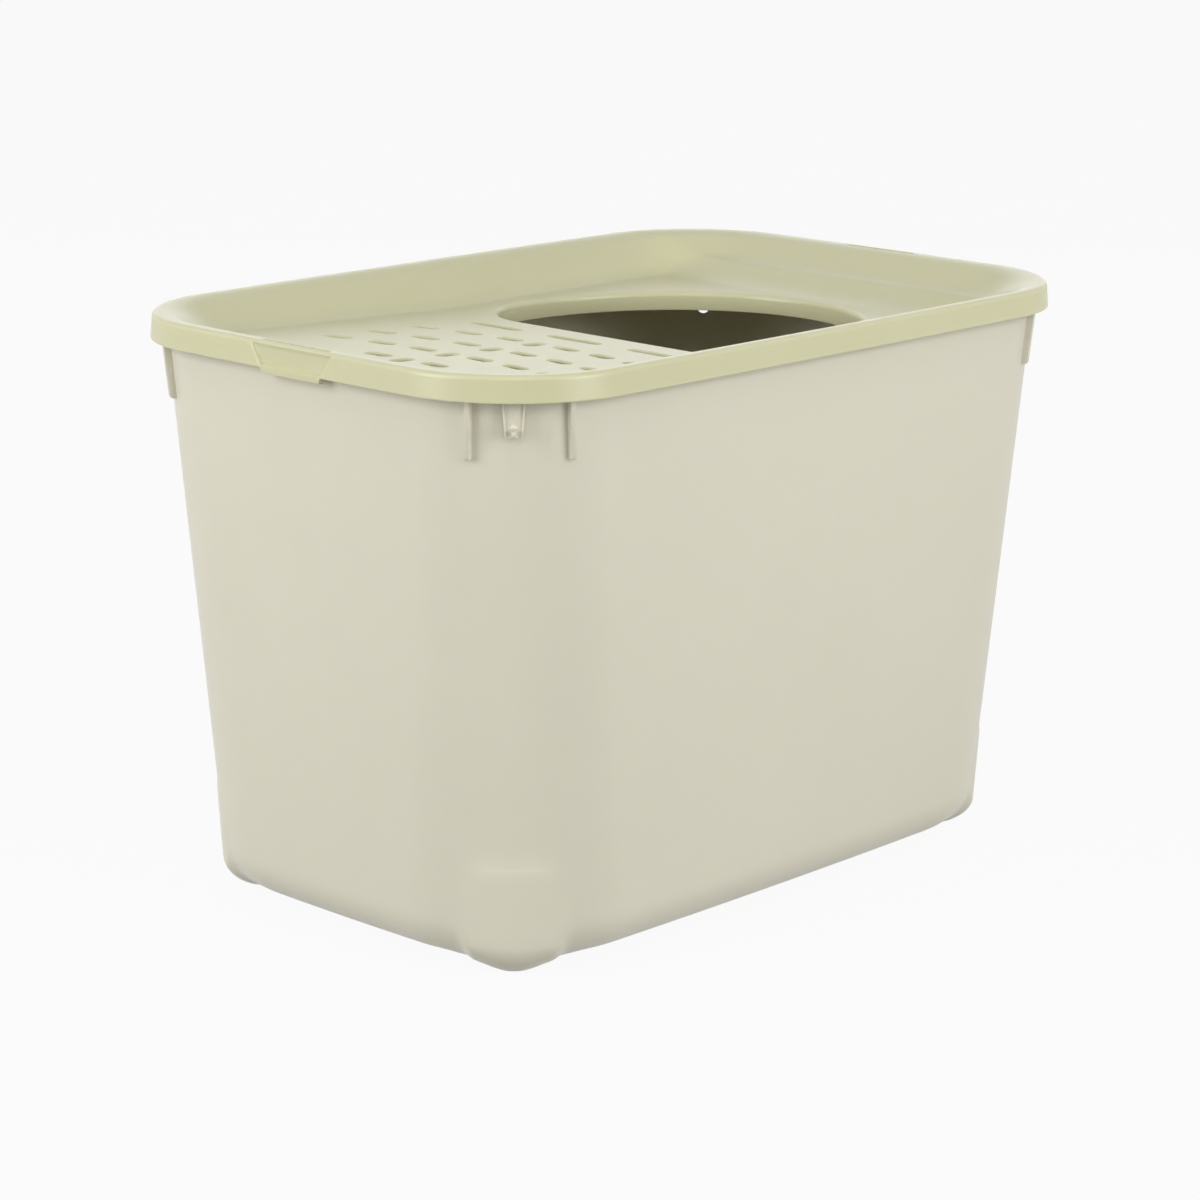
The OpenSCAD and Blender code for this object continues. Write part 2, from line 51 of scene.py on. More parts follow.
def make_camera():
    az, el, roll = (math.radians(v) for v in (CAM_TURN, CAM_RISE, CAM_ROLL))
    back = Vector((math.sin(az) * math.cos(el), -math.cos(az) * math.cos(el), math.sin(el)))
    level_right = Vector((math.cos(az), math.sin(az), 0))
    level_up = back.cross(level_right)
    right = level_right * math.cos(roll) + level_up * math.sin(roll)
    up = level_up * math.cos(roll) - level_right * math.sin(roll)
    place = Vector((0, 0, CAM_LEVEL)) + back * CAM_DISTANCE + right * CAM_RIGHT + up * CAM_UP
    data = bpy.data.cameras.new("camera")
    data.sensor_width = SENSOR_W
    data.lens = FOCAL_PX * SENSOR_W / PHOTO_PX
    data.clip_start = 0.05
    data.clip_end = 50
    cam = bpy.data.objects.new("camera", data)
    pose = Matrix((right, up, back)).transposed().to_4x4()
    pose.translation = place * MM
    cam.matrix_world = pose
    scene.collection.objects.link(cam)
    scene.camera = cam


make_camera()

# ---------------------------------------------------------------- sizes (mm and degrees)
# outer box, and how far the sides of lid and tub bow out
BOX_L, BOX_W, BOX_H = 585.0, 390.0, 395.0
LID_BOW, TUB_BOW = 2.9, 4.3
# lid: skirt, wall, play on the tub's rim, dish, and half length, half width and corner radius
SKIRT_H, LID_T, SEAT_GAP = 16.7, 2.4, 0.3
SKIRT_Z = BOX_H - SKIRT_H
DISH_DEPTH = 28.2
DISH_Z = BOX_H - DISH_DEPTH
LID_A, LID_B, LID_R = BOX_L / 2 - LID_BOW, BOX_W / 2 - LID_BOW, 88.0
# tub: wall, taper from the skirt's lower edge down to the floor, lower edge, and rim with its lip
TUB_WALL, TUB_INSET = 2.5, 10.9
TAPER_X, TAPER_Y, TAPER_R = 20.9, 15.3, 20.9
BOTTOM_R, FOOT_DROP, FOOT_FLAT = 29.0, 8.5, 8
RIM_OUT, RIM_T, RIM_LIP, RIM_LIP_T = 3.4, 2.5, 5.0, 1.8
# moulded corner feet
FOOT_PROUD, FOOT_HEAD, FOOT_R, FOOT_TOP, FOOT_REACH = 2.2, 0.9, 23.0, 76.5, 52.0
FOOT_SHIFT, FOOT_FADE = 1.6, 6
# stacking ribs with the rounding of their edges, hanging hole, and the hole for the hook's spigot
RIB_SHORT, RIB_LONG, RIB_PROUD, RIB_T, RIB_DROP = 19.2, 25.0, 5.2, 3.6, 37.4
RIB_ROOT, RIB_ROUND = 1.4, 0.5
HANG_D, HANG_DROP, HANG_ANGLE = 9.0, 41.3, 38.1
HOOK_DROP, PEG_Z, SPIGOT_RISE, SPIGOT_HOLE_D, BORE_L = 22, 3.6, 7, 5.3, 14
# lid section from the skirt over the rounded rim down to the dish
SKIRT_DRAFT, EDGE_R, BAND_W, ROLL_R = 1.2, 3.2, 0.6, 20.0
DISH_SLOPE, DISH_R = 48.0, 18.0
# floor of the dish: a ramp towards -X and a climb at the far end
RAMP_SLOPE, RAMP_START, END_RISE, END_LEVEL = 2.4, 16.0, 12.0, 3
# entry hole, from x = -HOLE_BACK to x = HOLE_FRONT, with its collar
HOLE_BACK, HOLE_FRONT, HOLE_W, HOLE_R, HOLE_STRAIGHT = 9.0, 201.0, 266.0, 55.0, 3.0
COLLAR_H, SHOULDER_R = 13.5, 3.5
# slots in the ramp: three long ones beside the hole, then curved rows of short ones
LONG_SLOT, LONG_SLOT_W, LONG_PITCH, LONG_X = 48.0, 8.0, 74.0, 38.0
SHORT_SLOT, SHORT_SLOT_W, MID_SLOT = 21.0, 9.0, 18.0
ROW_X, ROW_PITCH, ROW_COUNT = 72.0, 40.0, 3
SLOT_Y, SLOT_PITCH, ROW_R, SLOT_EDGE = 26.0, 35.5, 450.0, 1.3
# snap grip at each end, its hanging lip, and the groove behind it
GRIP_TOP, GRIP_BOTTOM, GRIP_DEPTH, GRIP_T, GRIP_LEDGE, GRIP_BEVEL = 73.0, 55.0, 2.6, 1.8, 1.2, 1.4
LIP_DROP, GROOVE_L, GROOVE_W, GROOVE_D = 3.4, 62.0, 3.6, 1.6
GRIP_ZONE, END_ZONE = 9, 12
CREST = SKIRT_DRAFT + EDGE_R + BAND_W
GROOVE_START, GROOVE_WALL = CREST - 0.35, 0.2
# the tub's rim meets the lid's underside, less the play
RIM_Z = (BOX_H - ROLL_R - SEAT_GAP
         + math.sqrt((ROLL_R - LID_T) ** 2 - (TUB_INSET + TUB_WALL / 4 - CREST) ** 2))

FINE = 2
# a ring's point on a straight side counts as this many degrees from any corner's middle
ON_SIDE = 99


def unit(deg):
    t = math.radians(deg)
    return np.array([math.cos(t), math.sin(t)])


# ---------------------------------------------------------------- outlines
def spaced(stops, step):
    """Values that run through the stops with no gap wider than step."""
    out = []
    for a, b in zip(stops, stops[1:]):
        n = max(1, round((b - a) / step))
        out += [a + (b - a) * i / n for i in range(n)]
    return out + [stops[-1]]


class Ring:
    """A rounded rectangle with bowed sides, always cut at the same angles and side places."""

    def __init__(self, half_corner, long_side, short_side):
        """half_corner: degrees from a corner's middle; sides: shares of the straight half-length."""
        turns = [45 - h for h in reversed(half_corner[1:])] + [45 + h for h in half_corner]
        sides = (long_side[::-1], short_side[::-1], long_side, short_side)
        self.points = []
        for k, s in enumerate(((1, 1), (-1, 1), (-1, -1), (1, -1))):
            for t in turns:
                self.points.append(("corner", s, 90 * k + t, (45 - t) * (1 - 2 * (k % 2))))
            for v in sides[k]:
                side = ("y", s[1]) if k in (0, 2) else ("x", s[0])
                self.points.append((side, None, v, ON_SIDE))
        self.n = len(self.points)

    def outline(self, a, b, r, bow):
        """Points as an (n, 2) array, for half length a, half width b and corner radius r."""
        out = np.zeros((self.n, 2))
        for i, (kind, s, v, _) in enumerate(self.points):
            if kind == "corner":
                out[i] = np.array([s[0] * (a - r), s[1] * (b - r)]) + r * unit(v)
            elif kind[0] == "y":
                out[i] = (v * (a - r), kind[1] * b)
            else:
                out[i] = (kind[1] * a, v * (b - r))
        x, y = out[:, 0].copy(), out[:, 1].copy()
        out[:, 0] += np.sign(x) * bow * (np.abs(x) / a) ** 4 * (1 - (y / b) ** 2)
        out[:, 1] += np.sign(y) * bow * (np.abs(y) / b) ** 4 * (1 - (x / a) ** 2)
        return out


def arc(c, r, start, end, steps):
    turns = [start + (end - start) * i / steps for i in range(steps + 1)]
    return [tuple(np.array(c) + r * unit(t)) for t in turns]


# ---------------------------------------------------------------- mesh helpers
class Builder:
    """Collects rings of points in mm and the faces between them, then makes one mesh object."""

    def __init__(self):
        self.bm = bmesh.new()

    def ring(self, points):
        return [self.bm.verts.new(p) for p in points]

    def band(self, lower, upper):
        n = len(lower)
        for i in range(n):
            j = (i + 1) % n
            self.bm.faces.new((lower[i], lower[j], upper[j], upper[i]))

    def stack(self, rings):
        rows = [self.ring(r) for r in rings]
        for a, b in zip(rows, rows[1:]):
            self.band(a, b)
        return rows

    def fill(self, loops):
        """Flat face with holes between closed loops of vertices."""
        edges = []
        for loop in loops:
            for a, b in zip(loop, loop[1:] + loop[:1]):
                edges.append(self.bm.edges.get((a, b)) or self.bm.edges.new((a, b)))
        return bmesh.ops.triangle_fill(self.bm, use_beauty=True, edges=edges)

    def cut(self, faces, x):
        """Splits the faces given along the plane at x and returns them with the new ones."""
        edges = set(e for f in faces for e in f.edges)
        verts = set(v for f in faces for v in f.verts)
        done = bmesh.ops.bisect_plane(
            self.bm, geom=list(verts) + list(edges) + list(faces), dist=1e-4,
            plane_co=(x, 0, 0), plane_no=(1, 0, 0))
        return set(faces) | set(g for g in done["geom"] if isinstance(g, bmesh.types.BMFace))

    def mesh(self, name):
        """The finished mesh in metres. The builder can't be used after it."""
        bmesh.ops.recalc_face_normals(self.bm, faces=self.bm.faces)
        bmesh.ops.scale(self.bm, vec=(MM, MM, MM), verts=self.bm.verts)
        mesh = bpy.data.meshes.new(name)
        self.bm.to_mesh(mesh)
        self.bm.free()
        return mesh


def finish_piece(mesh, name, body, node, angle):
    """Makes the object, rides it on its body and lets it replace its CAD node, if it has one."""
    mesh.shade_smooth()
    mesh.set_sharp_from_angle(angle=math.radians(angle))
    obj = bpy.data.objects.new(name, mesh)
    scene.collection.objects.link(obj)
    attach(obj, body)
    if node:
        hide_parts(node)
    return obj


def drilled(mesh, cutters):
    """A copy of the mesh with the cutters' volumes taken away, all in metres."""
    obj = bpy.data.objects.new("work", mesh)
    scene.collection.objects.link(obj)
    helpers = []
    for k, m in enumerate(cutters):
        c = bpy.data.objects.new("cutter", m)
        scene.collection.objects.link(c)
        mod = obj.modifiers.new("cut%d" % k, "BOOLEAN")
        mod.operation = "DIFFERENCE"
        mod.solver = "EXACT"
        mod.object = c
        helpers.append(c)
    bpy.context.view_layer.update()
    graph = bpy.context.evaluated_depsgraph_get()
    done = bpy.data.meshes.new_from_object(obj.evaluated_get(graph))
    for o in helpers + [obj]:
        bpy.data.objects.remove(o)
    return done


def bore_cutter(place, direction, d, length):
    """Cylinder of diameter d round a place in mm, along the direction, as a mesh in metres."""
    bm = bmesh.new()
    bmesh.ops.create_cone(bm, cap_ends=True, segments=48, radius1=d / 2 * MM, radius2=d / 2 * MM,
                          depth=length * MM)
    turn = Vector(direction).to_track_quat("Z", "Y").to_matrix().to_4x4()
    turn.translation = Vector(place) * MM
    bm.transform(turn)
    mesh = bpy.data.meshes.new("bore")
    bm.to_mesh(mesh)
    bm.free()
    return mesh


# ---------------------------------------------------------------- tub
def lean(z):
    """Share of the wall's taper at a height: 0 at the skirt's lower edge, 1 at the floor."""
    return (SKIRT_Z - z) / SKIRT_Z


def tub_dims(z):
    """Half length, half width and corner radius of the outer wall at a height."""
    return (LID_A - TUB_INSET - TAPER_X * lean(z), LID_B - TUB_INSET - TAPER_Y * lean(z),
            LID_R - TUB_INSET + TAPER_R * lean(z))


def wall_point(angle, z):
    """Point of the outer wall on the +X +Y corner, at an angle round the corner's centre."""
    a, b, r = tub_dims(z)
    x, y = np.array([a - r, b - r]) + r * unit(angle)
    return np.array([x + TUB_BOW * (x / a) ** 4 * (1 - (y / b) ** 2),
                     y + TUB_BOW * (y / b) ** 4 * (1 - (x / a) ** 2)])


def corner_middle():
    a, b, r = tub_dims(SKIRT_Z)
    return np.array([a - r, b - r])


CORNER_MID = corner_middle()


def wall_reach(angle, z):
    return float(np.dot(wall_point(angle, z) - CORNER_MID, unit(angle)))


# Share of the foot by angle from a corner's middle, as angles and shares. The places run from
# the underside (0) over the lower edge (1) and the face (2) to the top of the face (3).
FOOT_SHARES = (
    ([0, 7, 10, 12.5, 14.5, 16.5, 18.5, 20], [1, 1, 0.93, 0.78, 0.55, 0.25, 0.06, 0]),
    ([0, 2.5, 4.6, 8.3, 12.1, 15.9, 17.5, 19, 21, 24, 28, 32, 35],
     [1, 0.98, 0.93, 0.77, 0.56, 0.38, 0.29, 0.18, 0.15, 0.11, 0.05, 0.015, 0]),
    ([0, 14.5, 16, 17.5, 19.5, 21.5, 23.5], [1, 1, 0.93, 0.7, 0.32, 0.08, 0]),
    ([0, 11, 12.5, 14.5, 16.5, 18.5, 20.5], [1, 1, 0.93, 0.7, 0.32, 0.08, 0]))
# rows where a foot's underside ends inwards: distance, and share of the drop
FOOT_INNER = ((6, 1), (3, 0.9), (0, 0.62), (-3, 0.2), (-6, 0))


def build_tub():
    ring = Ring(spaced([0, 24, 45], 0.5 + 1.5 / FINE), [i / 12 for i in range(-11, 12)],
                [i / 8 for i in range(-7, 8)])
    off_middle = [abs(p[3] - FOOT_SHIFT) for p in ring.points]
    shares = [np.interp(off_middle, *table) for table in FOOT_SHARES]

    def level(plain, foot, place=2.0):
        """Ring between the plain wall and the foot. Each is an inset and a height."""
        k = min(2, int(place))
        share = (shares[k] + (shares[k + 1] - shares[k]) * (place - k))[:, None]
        out = []
        for s, z in (plain, foot):
            a, b, r = tub_dims(z)
            out.append(np.c_[ring.outline(a - s, b - s, r - s, TUB_BOW), np.full(ring.n, z)])
        return out[0] * (1 - share) + out[1] * share

    def edge(off):
        """Rows round the lower edge, on the outside or as far inside as off."""
        rows = []
        for t in np.linspace(0, 90, 13):
            s, c = math.sin(math.radians(t)), math.cos(math.radians(t))
            plain = (off + (BOTTOM_R - off) * (1 - s), FOOT_DROP + off + (BOTTOM_R - off) * (1 - c))
            foot = (off - FOOT_PROUD + (FOOT_R - off) * (1 - s), off + (FOOT_R - off) * (1 - c))
            rows.append((plain, foot, 2 - c))
        return rows

    def inner_end(off):
        """Rows under the tub, where the feet end inwards."""
        rows = []
        for ds, k in FOOT_INNER:
            s = FOOT_REACH + ds - off / 2
            rows.append(((s, FOOT_DROP + off), (s, FOOT_DROP * k + off), 0))
        rows.append(((BOTTOM_R + FOOT_FLAT, FOOT_DROP + off), (FOOT_R - FOOT_PROUD + FOOT_FLAT, off), 0))
        return rows

    def face(off):
        """Rows up the face of a foot, which thins and then rounds off into the wall."""
        low = edge(off)[-1]
        rows = []
        for k in np.linspace(0, 1, 9)[1:]:
            plain_z, z = (v[1] + (FOOT_TOP - FOOT_FADE - v[1]) * k for v in low[:2])
            s = off - FOOT_PROUD + (FOOT_PROUD - FOOT_HEAD) * k
            rows.append(((off, plain_z), (s, z), 2 + k ** 3))
        for k in np.linspace(0, 1, 5)[1:]:
            z = FOOT_TOP - FOOT_FADE + FOOT_FADE * k
            rows.append(((off, z), (off - FOOT_HEAD * (1 - k) ** 0.6, z), 3))
        return rows

    wall_z = np.linspace(FOOT_TOP, RIM_Z - RIM_T - 1.0, 28)[1:]
    o = -RIM_OUT
    # from under the rim round its hanging lip and over the top, with small roundings
    rim = [(0, RIM_Z - RIM_T), (RIM_LIP_T + o, RIM_Z - RIM_T), (RIM_LIP_T + o, RIM_Z - RIM_LIP + 0.4),
           (RIM_LIP_T + o - 0.4, RIM_Z - RIM_LIP), (o + 0.4, RIM_Z - RIM_LIP),
           (o, RIM_Z - RIM_LIP + 0.4), (o, RIM_Z - 0.9), (o + 0.3, RIM_Z - 0.25), (o + 0.9, RIM_Z),
           (TUB_WALL - 0.9, RIM_Z), (TUB_WALL - 0.25, RIM_Z - 0.3), (TUB_WALL, RIM_Z - 1)]
    rows = inner_end(0) + edge(0) + face(0) + [((0, z), (0, z)) for z in wall_z]
    rows += [(p, p) for p in rim]
    rows += [((TUB_WALL, z), (TUB_WALL, z)) for z in wall_z[::-1]]
    rows += face(TUB_WALL)[::-1] + edge(TUB_WALL)[::-1] + inner_end(TUB_WALL)[::-1]
    b = Builder()
    loops = b.stack([level(*row) for row in rows])
    b.fill([loops[0]])
    b.fill([loops[-1]])
    hang_z = SKIRT_Z - HANG_DROP
    hang = wall_point(HANG_ANGLE, hang_z)
    side = unit(HANG_ANGLE)
    spigot_z = SKIRT_Z - HOOK_DROP + PEG_Z + SPIGOT_RISE
    diag = -unit(45)
    hook = -CORNER_MID + diag * wall_reach(45, spigot_z)
    mesh = drilled(b.mesh("tub_shell"), [
        bore_cutter((hang[0], hang[1], hang_z), (side[0], side[1], 0), HANG_D, BORE_L),
        bore_cutter((hook[0], hook[1], spigot_z), (diag[0], diag[1], 0), SPIGOT_HOLE_D, BORE_L)])
    return finish_piece(mesh, "tub_shell", "base", "tub", 32)


def build_ribs():
    """Two stacking ribs beside each corner, which stand out more towards their upper end."""
    low, high = SKIRT_Z - RIB_DROP, RIM_Z - RIM_T / 2
    profile = [(-RIB_ROOT, low), (RIB_PROUD - 3.0, low), (RIB_PROUD - 1.6, low + 0.5),
               (RIB_PROUD - 0.8, low + 1.6), (RIB_PROUD, high), (-RIB_ROOT, high)]
    m = len(profile)
    b = Builder()
    for sx, sy in ((1, 1), (-1, 1), (-1, -1), (1, -1)):
        for angle in (45 - RIB_SHORT, 45 + RIB_LONG):
            d = unit(angle)
            n = np.array([-d[1], d[0]])
            loops = []
            for side in (-1, 1):
                row = []
                for u, z in profile:
                    p = wall_point(angle, z) + d * u + n * side * RIB_T / 2
                    row.append(b.bm.verts.new((p[0] * sx, p[1] * sy, z)))
                loops.append(row)
            b.bm.faces.new(loops[0])
            b.bm.faces.new(loops[1][::-1])
            for i in range(m):
                j = (i + 1) % m
                b.bm.faces.new((loops[0][i], loops[1][i], loops[1][j], loops[0][j]))
            rims = [(row[i], row[i + 1]) for row in loops for i in range(1, m - 2)]
            rims += [(row[1], row[0]) for row in loops]
            bmesh.ops.bevel(b.bm, geom=[b.bm.edges.get(pair) for pair in rims], offset=RIB_ROUND,
                            segments=2, profile=0.5, affect="EDGES", clamp_overlap=True)
    return finish_piece(b.mesh("stacking_ribs"), "stacking_ribs", "base", None, 40)


# ---------------------------------------------------------------- lid
EDGE_C = (SKIRT_DRAFT + EDGE_R, BOX_H - EDGE_R)
ROLL_C = (CREST, BOX_H - ROLL_R)
SLOPE = math.radians(DISH_SLOPE)
ROLL_END = np.array(ROLL_C) + ROLL_R * unit(90 - DISH_SLOPE)
SLOPE_FOOT_Z = DISH_Z + DISH_R * (1 - math.cos(SLOPE))
SLOPE_FOOT_IN = ROLL_END[0] + (ROLL_END[1] - SLOPE_FOOT_Z) / math.tan(SLOPE)
# inset of the dish's flat floor from the lid's outline
LID_RUN = SLOPE_FOOT_IN + DISH_R * math.sin(SLOPE)
DISH_C = (LID_RUN, DISH_Z + DISH_R)
END_START = HOLE_FRONT + SHOULDER_R + END_LEVEL
END_STOP = LID_A - LID_RUN


def floor_rise(x):
    """Height of the dish's floor over its lowest level."""
    end = np.clip((x - END_START) / (END_STOP - END_START), 0, 1)
    return np.maximum(0, -RAMP_START - x) * math.tan(math.radians(RAMP_SLOPE)) + END_RISE * end ** 2


def hole_outline(e, fine=5):
    """D-shaped entry hole grown by e, counter-clockwise from its round front."""
    c = HOLE_R - HOLE_BACK
    f = c + HOLE_STRAIGHT
    half = []
    for t in np.linspace(0, 90, 9 * fine + 1):
        s = math.radians(t)
        n = np.array([math.cos(s) * (HOLE_W / 2), math.sin(s) * (HOLE_FRONT - f)])
        n = n / np.linalg.norm(n)
        half.append((f + (HOLE_FRONT - f) * math.cos(s) + e * n[0],
                     HOLE_W / 2 * math.sin(s) + e * n[1]))
    for t in np.linspace(90, 180, 4 * fine + 1):
        p = np.array([c, HOLE_W / 2 - HOLE_R]) + (HOLE_R + e) * unit(t)
        half.append(tuple(p))
    half += [(half[-1][0], half[-1][1] * k) for k in (0.75, 0.5, 0.25, 0.0)]
    return half + [(x, -y) for x, y in half[-2:0:-1]]


def slot_outline(cx, cy, length, width, e, turn):
    r = width / 2 + e
    s = (length - width) / 2
    out = [np.array([0, s]) + r * unit(t) for t in np.linspace(0, 180, 17)]
    out += [np.array([0, -s]) + r * unit(t) for t in np.linspace(180, 360, 17)]
    x, y = unit(turn), unit(turn + 90)
    return [(cx + p[0] * x[0] + p[1] * y[0], cy + p[0] * x[1] + p[1] * y[1]) for p in out]


def slots():
    """Middle, length, width and turn of each slot in the ramp."""
    for k in (-1, 0, 1):
        yield -LONG_X, k * LONG_PITCH, LONG_SLOT, LONG_SLOT_W, 0
    for row in range(ROW_COUNT + 1):
        x = -ROW_X - row * ROW_PITCH
        yield x - SHORT_SLOT_W / 2, 0, MID_SLOT, SHORT_SLOT_W, 90
        for k in range(3 if row < ROW_COUNT else 1):
            for side in (-1, 1):
                y = side * (SLOT_Y + k * SLOT_PITCH)
                turn = math.degrees(math.asin(y / ROW_R))
                yield x + math.sqrt(ROW_R ** 2 - y * y) - ROW_R, y, SHORT_SLOT, SHORT_SLOT_W, turn


def ramp(v, a, b):
    """Goes from 0 at a to 1 at b and stays level outside."""
    return np.clip((v - a) / (b - a), 0, 1)


def shape_grip(p, outer, d):
    """Moves points of the skirt and rim so that each end gets its snap grip."""
    x, y, z = p[:, 0], np.abs(p[:, 1]), p[:, 2].copy()
    end = np.abs(x) > LID_A - END_ZONE
    high = BOX_H - EDGE_R
    low = SKIRT_Z + GRIP_LEDGE
    half = GRIP_BOTTOM / 2 + (GRIP_TOP - GRIP_BOTTOM) / 2 * (z - low) / (high - low)
    side = ramp(half - y, 0, GRIP_BEVEL)
    roof = 1 - ramp(z, high - 0.2, high + 1.6)
    if outer:
        shift = np.maximum(0, GRIP_DEPTH - d) * side * ramp(z, low, low + 1.2) * roof
    else:
        shift = np.maximum(0, GRIP_DEPTH + GRIP_T - d) * side * roof
    tab = ramp(GRIP_BOTTOM / 2 - y, 0, 1.2) * end * (d < LID_T + 1)
    z -= LIP_DROP * tab * (1 - ramp(z, SKIRT_Z + 0.6, SKIRT_Z + 0.9))
    if outer and GROOVE_START < d < GROOVE_START + GROOVE_W:
        z -= GROOVE_D * ramp(GROOVE_L / 2 - y, 0, 0.8) * end
    return np.c_[x - np.sign(x) * shift * end, p[:, 1], z]


def build_lid():
    straight = LID_B - LID_R
    # closer points along the short sides where the edges of the grips lie
    stops = [v / straight for v in (-straight + 3, -40, -37, -24, 24, 37, 40, straight - 3)]
    short = []
    for a, b, step in zip(stops, stops[1:], (10, 1, 0.5, 4, 0.5, 1, 10)):
        short += spaced([a, b], step / straight)[:-1]
    short.append(stops[-1])
    ring = Ring(spaced([0, 45], 2.25), [i / 14 for i in range(-13, 14)], short)

    def level(d, z, outer):
        """Ring at an inset and a height, on the lid's outer face or on its underside."""
        p = np.c_[ring.outline(LID_A - d, LID_B - d, LID_R - d, LID_BOW), np.full(ring.n, z)]
        # the floor's rise fades out up the slope and is nothing at the crest, on both faces
        share = (BOX_H - z - (0 if outer else LID_T)) / DISH_DEPTH if d > CREST else 0
        p[:, 2] += share * floor_rise(p[:, 0])
        if d < GRIP_ZONE:
            p = shape_grip(p, outer, d)
        return p

    def section(off, fine):
        """Inset and height from the skirt's edge to the dish's floor, off inside the outer face."""
        wall = [(off, z) for z in np.linspace(SKIRT_Z + 0.5, EDGE_C[1], 18)[:-1]]
        edge = arc(EDGE_C, EDGE_R - off, 180, 90, fine)
        roll = arc(ROLL_C, ROLL_R - off, 90, 90 - DISH_SLOPE, 2 * fine)
        level_band = []
        if off == 0:
            half, stop = GROOVE_WALL / 2, GROOVE_START + GROOVE_W
            inside = spaced([GROOVE_START + half, stop - half], GROOVE_W / 4)
            for d in [GROOVE_START - half] + inside + [stop + half]:
                past = max(0, d - CREST)
                level_band.append((d, BOX_H - ROLL_R + math.sqrt(ROLL_R ** 2 - past ** 2)))
            roll = [q for q in roll if q[0] > stop + GROOVE_WALL]
        foot = arc(DISH_C, DISH_R + off, 270 - DISH_SLOPE, 270, 2 * fine)
        start, stop = np.array(roll[-1]), np.array(foot[0])
        slope = [tuple(start + (stop - start) * k) for k in (0.25, 0.5, 0.75)]
        draft = [(d + SKIRT_DRAFT * (z - SKIRT_Z) / (EDGE_C[1] - SKIRT_Z), z) for d, z in wall]
        return draft + edge + level_band + roll + slope + foot

    top = section(0, 6)
    under = section(LID_T, 5)
    hem = [(LID_T, SKIRT_Z + 0.5), (LID_T - 0.15, SKIRT_Z + 0.15), (LID_T - 0.5, SKIRT_Z),
           (0.5, SKIRT_Z), (0.15, SKIRT_Z + 0.15)]
    b = Builder()
    rings = [level(d, z, False) for d, z in reversed(under[1:])]
    rings += [level(d, z, d < 0.3) for d, z in hem]
    rings += [level(d, z, True) for d, z in top]
    rows = b.stack(rings)

    low_z = DISH_Z - LID_T
    # entry hole: shoulder, collar, and its underside
    s = SHOULDER_R
    low = DISH_Z - COLLAR_H
    profile = [(s + 1.5, DISH_Z)]
    profile += [(s + q[0], DISH_Z - s + q[1]) for q in arc((0, 0), s, 90, 180, 6)]
    profile += [(0, low + 0.8), (0.25, low + 0.25), (0.8, low),
                (LID_T - 0.8, low), (LID_T - 0.25, low + 0.25), (LID_T, low + 0.8),
                (LID_T, low_z - 1.2), (LID_T + 0.35, low_z - 0.35), (LID_T + 1.2, low_z),
                (LID_T + 2.4, low_z)]
    hole_rows = b.stack([[(x, y, z) for x, y in hole_outline(e)] for e, z in profile])
    top_loops, low_loops = [rows[-1], hole_rows[0]], [rows[0], hole_rows[-1]]
    slot_profile = [(SLOT_EDGE + 0.9, 0)]
    slot_profile += [(SLOT_EDGE + q[0], -SLOT_EDGE + q[1])
                     for q in arc((0, 0), SLOT_EDGE, 90, 180, 4)]
    slot_profile += [(0, -LID_T + 0.3), (0.3, -LID_T), (0.9, -LID_T)]
    for cx, cy, length, width, turn in slots():
        loops = b.stack([[(x, y, DISH_Z + dz)
                          for x, y in slot_outline(cx, cy, length, width, e, turn)]
                         for e, dz in slot_profile])
        top_loops.append(loops[0])
        low_loops.append(loops[-1])
    # the dish rings already carry the rise, so it comes off them while the flat floors are filled
    dish = set(v for row in rows[1:-1] for v in row)
    for row, z in ((rows[-1], DISH_Z), (rows[0], low_z)):
        for v in row:
            v.co.z = z
    before = set(b.bm.faces)
    b.fill(top_loops)
    b.fill(low_loops)
    flat = set(b.bm.faces) - before
    for x in [-RAMP_START] + list(np.linspace(END_START, END_STOP, 11)):
        flat = b.cut(flat, x)
    for v in b.bm.verts:
        if v not in dish:
            inside = abs(v.co.y) < LID_B - LID_RUN + 3 and abs(v.co.x) < END_STOP + 3
            if inside and v.co.z < DISH_Z + 0.01:
                v.co.z += float(floor_rise(v.co.x))
    return finish_piece(b.mesh("lid_shell"), "lid_shell", "lid", "lid", 35)


